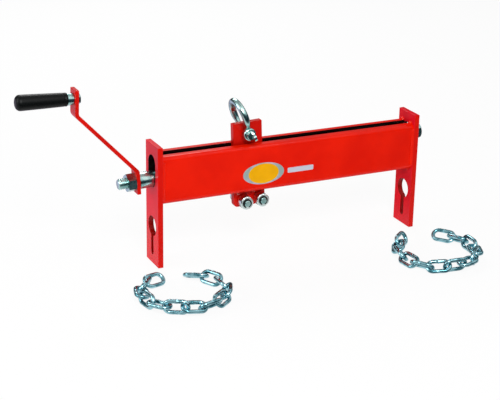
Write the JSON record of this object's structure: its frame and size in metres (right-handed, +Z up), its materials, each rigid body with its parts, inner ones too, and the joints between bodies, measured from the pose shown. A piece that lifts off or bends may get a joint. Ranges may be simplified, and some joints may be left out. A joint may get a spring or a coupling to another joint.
{
  "type": "engine load leveler",
  "caption": "Slotted beam on two keyhole end plates with a crank-driven screw that moves a shackle carriage along it to tilt a hoisted engine; two loose chains lie in front.",
  "frame": {"origin": "middle of the whole part's box at floor level", "axes": "+X along the beam away from the crank, +Y from the chains to the beam, +Z up"},
  "size_m": [0.8388, 0.3012, 0.3499],
  "materials": {
    "red_paint": "gloss enamel",
    "zinc": "bright zinc plate",
    "black_steel": "phosphated",
    "black_plastic": "satin"
  },
  "bodies": {
    "frame": {"left_end_plate": "red_paint", "right_end_plate": "red_paint", "front_channel": "red_paint", "rear_channel": "red_paint", "frame_welds": "red_paint"},
    "bushes": {"left_bush": "zinc", "right_bush": "zinc"},
    "spindle_and_crank": {"spindle": "zinc", "thrust_collars": "zinc", "collar_pins": "zinc", "far_washer": "zinc", "far_nut": "zinc", "crank_arm": "red_paint", "crank_nut": "zinc", "handle_bolt": "zinc", "handle_nut": "zinc", "handle_collar": "zinc"},
    "grip": {"grip": "black_plastic"},
    "carriage": {"carriage_lug": "red_paint", "carriage_hanger": "red_paint", "spindle_block": "red_paint", "carriage_welds": "red_paint", "roller_axles": "zinc", "roller_circlips": "black_steel", "roller_washers": "zinc"},
    "shackle": {"shackle_bow": "zinc", "shackle_pin": "zinc"},
    "front_left_roller": {"front_left_roller": "zinc"},
    "front_right_roller": {"front_right_roller": "zinc"},
    "rear_left_roller": {"rear_left_roller": "zinc"},
    "rear_right_roller": {"rear_right_roller": "zinc"},
    "left_chain_link_01": {"left_chain_link_01": "zinc"},
    "left_chain_link_02": {"left_chain_link_02": "zinc"},
    "left_chain_link_03": {"left_chain_link_03": "zinc"},
    "left_chain_link_04": {"left_chain_link_04": "zinc"},
    "left_chain_link_05": {"left_chain_link_05": "zinc"},
    "left_chain_link_06": {"left_chain_link_06": "zinc"},
    "left_chain_link_07": {"left_chain_link_07": "zinc"},
    "left_chain_link_08": {"left_chain_link_08": "zinc"},
    "left_chain_link_09": {"left_chain_link_09": "zinc"},
    "left_chain_link_10": {"left_chain_link_10": "zinc"},
    "left_chain_link_11": {"left_chain_link_11": "zinc"},
    "left_chain_link_12": {"left_chain_link_12": "zinc"},
    "left_chain_link_13": {"left_chain_link_13": "zinc"},
    "right_chain_link_01": {"right_chain_link_01": "zinc"},
    "right_chain_link_02": {"right_chain_link_02": "zinc"},
    "right_chain_link_03": {"right_chain_link_03": "zinc"},
    "right_chain_link_04": {"right_chain_link_04": "zinc"},
    "right_chain_link_05": {"right_chain_link_05": "zinc"},
    "right_chain_link_06": {"right_chain_link_06": "zinc"},
    "right_chain_link_07": {"right_chain_link_07": "zinc"},
    "right_chain_link_08": {"right_chain_link_08": "zinc"},
    "right_chain_link_09": {"right_chain_link_09": "zinc"},
    "right_chain_link_10": {"right_chain_link_10": "zinc"},
    "right_chain_link_11": {"right_chain_link_11": "zinc"},
    "right_chain_link_12": {"right_chain_link_12": "zinc"},
    "right_chain_link_13": {"right_chain_link_13": "zinc"}
  },
  "joints": [
    {"name": "spindle_tilt", "type": "hinge", "parent": "frame", "child": "bushes", "pos_m": [-0.16617, 0.11665, 0.1661], "axis": [0, 1, 0], "range_deg": [0, 2.6]},
    {"name": "crank_turn", "type": "hinge", "parent": "bushes", "child": "spindle_and_crank", "pos_m": [-0.16617, 0.11665, 0.1661], "axis": [0.999, 0, 0.0454], "range_deg": [-11880, 11520]},
    {"name": "carriage_slide", "type": "slide", "parent": "bushes", "child": "carriage", "axis": [0.999, 0, 0.0454], "range_m": [-0.1281, 0.1321]},
    {"name": "shackle_swing", "type": "hinge", "parent": "carriage", "child": "shackle", "pos_m": [0.01397, 0.11665, 0.23304], "axis": [0, 1, 0], "range_deg": [-70, 106]},
    {"name": "grip_spin", "type": "hinge", "parent": "spindle_and_crank", "child": "grip", "pos_m": [-0.30951, 0.11665, 0.33168], "axis": [0.9994, 0, -0.0349], "continuous": true},
    {"name": "front_left_roller_spin", "type": "hinge", "parent": "carriage", "child": "front_left_roller", "pos_m": [0.00899, 0.09985, 0.10033], "axis": [0, 1, 0], "continuous": true},
    {"name": "front_right_roller_spin", "type": "hinge", "parent": "carriage", "child": "front_right_roller", "pos_m": [0.04196, 0.09985, 0.10183], "axis": [0, 1, 0], "continuous": true},
    {"name": "rear_left_roller_spin", "type": "hinge", "parent": "carriage", "child": "rear_left_roller", "pos_m": [0.00899, 0.13345, 0.10033], "axis": [0, 1, 0], "continuous": true},
    {"name": "rear_right_roller_spin", "type": "hinge", "parent": "carriage", "child": "rear_right_roller", "pos_m": [0.04196, 0.13345, 0.10183], "axis": [0, 1, 0], "continuous": true},
    {"name": "left_chain_lift", "type": "slide", "parent": "frame", "child": "left_chain_link_07", "axis": [0, 0, 1], "range_m": [0, 0.15]},
    {"name": "left_chain_link_08_bend", "type": "hinge", "parent": "left_chain_link_07", "child": "left_chain_link_08", "pos_m": [-0.17039, -0.11846, 0.01117], "axis": [0, 0, 1], "range_deg": [-20, 1]},
    {"name": "left_chain_link_09_bend", "type": "hinge", "parent": "left_chain_link_08", "child": "left_chain_link_09", "pos_m": [-0.13938, -0.1105, 0.01117], "axis": [0, 0, 1], "range_deg": [-20, 1]},
    {"name": "left_chain_link_10_bend", "type": "hinge", "parent": "left_chain_link_09", "child": "left_chain_link_10", "pos_m": [-0.11411, -0.08974, 0.01117], "axis": [0, 0, 1], "range_deg": [-20, 1]},
    {"name": "left_chain_link_11_bend", "type": "hinge", "parent": "left_chain_link_10", "child": "left_chain_link_11", "pos_m": [-0.1005, -0.06003, 0.01117], "axis": [0, 0, 1], "range_deg": [-20, 1]},
    {"name": "left_chain_link_12_bend", "type": "hinge", "parent": "left_chain_link_11", "child": "left_chain_link_12", "pos_m": [-0.1013, -0.02736, 0.01117], "axis": [0, 0, 1], "range_deg": [-20, 1]},
    {"name": "left_chain_link_13_bend", "type": "hinge", "parent": "left_chain_link_12", "child": "left_chain_link_13", "pos_m": [-0.1161, 0.00119, 0.01117], "axis": [0, 0, 1], "range_deg": [-20, 1]},
    {"name": "left_chain_link_06_bend", "type": "hinge", "parent": "left_chain_link_07", "child": "left_chain_link_06", "pos_m": [-0.20151, -0.11486, 0.01424], "axis": [0, 0, -1], "range_deg": [-20, 1]},
    {"name": "left_chain_link_05_bend", "type": "hinge", "parent": "left_chain_link_06", "child": "left_chain_link_05", "pos_m": [-0.22909, -0.09982, 0.01424], "axis": [0, 0, -1], "range_deg": [-20, 1]},
    {"name": "left_chain_link_04_bend", "type": "hinge", "parent": "left_chain_link_05", "child": "left_chain_link_04", "pos_m": [-0.24732, -0.07417, 0.01389], "axis": [0, 0, -1], "range_deg": [-20, 1]},
    {"name": "left_chain_link_03_bend", "type": "hinge", "parent": "left_chain_link_04", "child": "left_chain_link_03", "pos_m": [-0.2525, -0.04289, 0.01389], "axis": [0, 0, -1], "range_deg": [-20, 1]},
    {"name": "left_chain_link_02_bend", "type": "hinge", "parent": "left_chain_link_03", "child": "left_chain_link_02", "pos_m": [-0.24345, -0.01254, 0.01284], "axis": [0, 0, -1], "range_deg": [-20, 1]},
    {"name": "left_chain_link_01_bend", "type": "hinge", "parent": "left_chain_link_02", "child": "left_chain_link_01", "pos_m": [-0.22194, 0.01085, 0.01284], "axis": [0, 0, -1], "range_deg": [-20, 1]},
    {"name": "right_chain_lift", "type": "slide", "parent": "frame", "child": "right_chain_link_07", "axis": [0, 0, 1], "range_m": [0, 0.15]},
    {"name": "right_chain_link_08_bend", "type": "hinge", "parent": "right_chain_link_07", "child": "right_chain_link_08", "pos_m": [0.31044, -0.13593, 0.01389], "axis": [0, 0, -1], "range_deg": [-20, 1]},
    {"name": "right_chain_link_09_bend", "type": "hinge", "parent": "right_chain_link_08", "child": "right_chain_link_09", "pos_m": [0.28331, -0.12014, 0.01021], "axis": [0, 0, -1], "range_deg": [-20, 1]},
    {"name": "right_chain_link_10_bend", "type": "hinge", "parent": "right_chain_link_09", "child": "right_chain_link_10", "pos_m": [0.26573, -0.09388, 0.01036], "axis": [0, 0, -1], "range_deg": [-20, 1]},
    {"name": "right_chain_link_11_bend", "type": "hinge", "parent": "right_chain_link_10", "child": "right_chain_link_11", "pos_m": [0.26134, -0.06183, 0.01117], "axis": [0, 0, -1], "range_deg": [-20, 1]},
    {"name": "right_chain_link_12_bend", "type": "hinge", "parent": "right_chain_link_11", "child": "right_chain_link_12", "pos_m": [0.26878, -0.03014, 0.01117], "axis": [0, 0, -1], "range_deg": [-20, 1]},
    {"name": "right_chain_link_13_bend", "type": "hinge", "parent": "right_chain_link_12", "child": "right_chain_link_13", "pos_m": [0.28571, -0.00217, 0.01284], "axis": [0, 0, -1], "range_deg": [-20, 1]},
    {"name": "right_chain_link_06_bend", "type": "hinge", "parent": "right_chain_link_07", "child": "right_chain_link_06", "pos_m": [0.34179, -0.13823, 0.01389], "axis": [0, 0, 1], "range_deg": [-20, 1]},
    {"name": "right_chain_link_05_bend", "type": "hinge", "parent": "right_chain_link_06", "child": "right_chain_link_05", "pos_m": [0.37165, -0.12748, 0.01421], "axis": [0, 0, 1], "range_deg": [-20, 1]},
    {"name": "right_chain_link_04_bend", "type": "hinge", "parent": "right_chain_link_05", "child": "right_chain_link_04", "pos_m": [0.39485, -0.10523, 0.01421], "axis": [0, 0, 1], "range_deg": [-20, 1]},
    {"name": "right_chain_link_03_bend", "type": "hinge", "parent": "right_chain_link_04", "child": "right_chain_link_03", "pos_m": [0.40745, -0.07584, 0.01349], "axis": [0, 0, 1], "range_deg": [-20, 1]},
    {"name": "right_chain_link_02_bend", "type": "hinge", "parent": "right_chain_link_03", "child": "right_chain_link_02", "pos_m": [0.40869, -0.04346, 0.01349], "axis": [0, 0, 1], "range_deg": [-20, 1]},
    {"name": "right_chain_link_01_bend", "type": "hinge", "parent": "right_chain_link_02", "child": "right_chain_link_01", "pos_m": [0.39872, -0.01242, 0.01021], "axis": [0, 0, 1], "range_deg": [-20, 1]}
  ],
  "couplings": [
    {"joint": "carriage_slide", "follows": "crank_turn", "m_per_rad": -0.00063662}
  ]
}
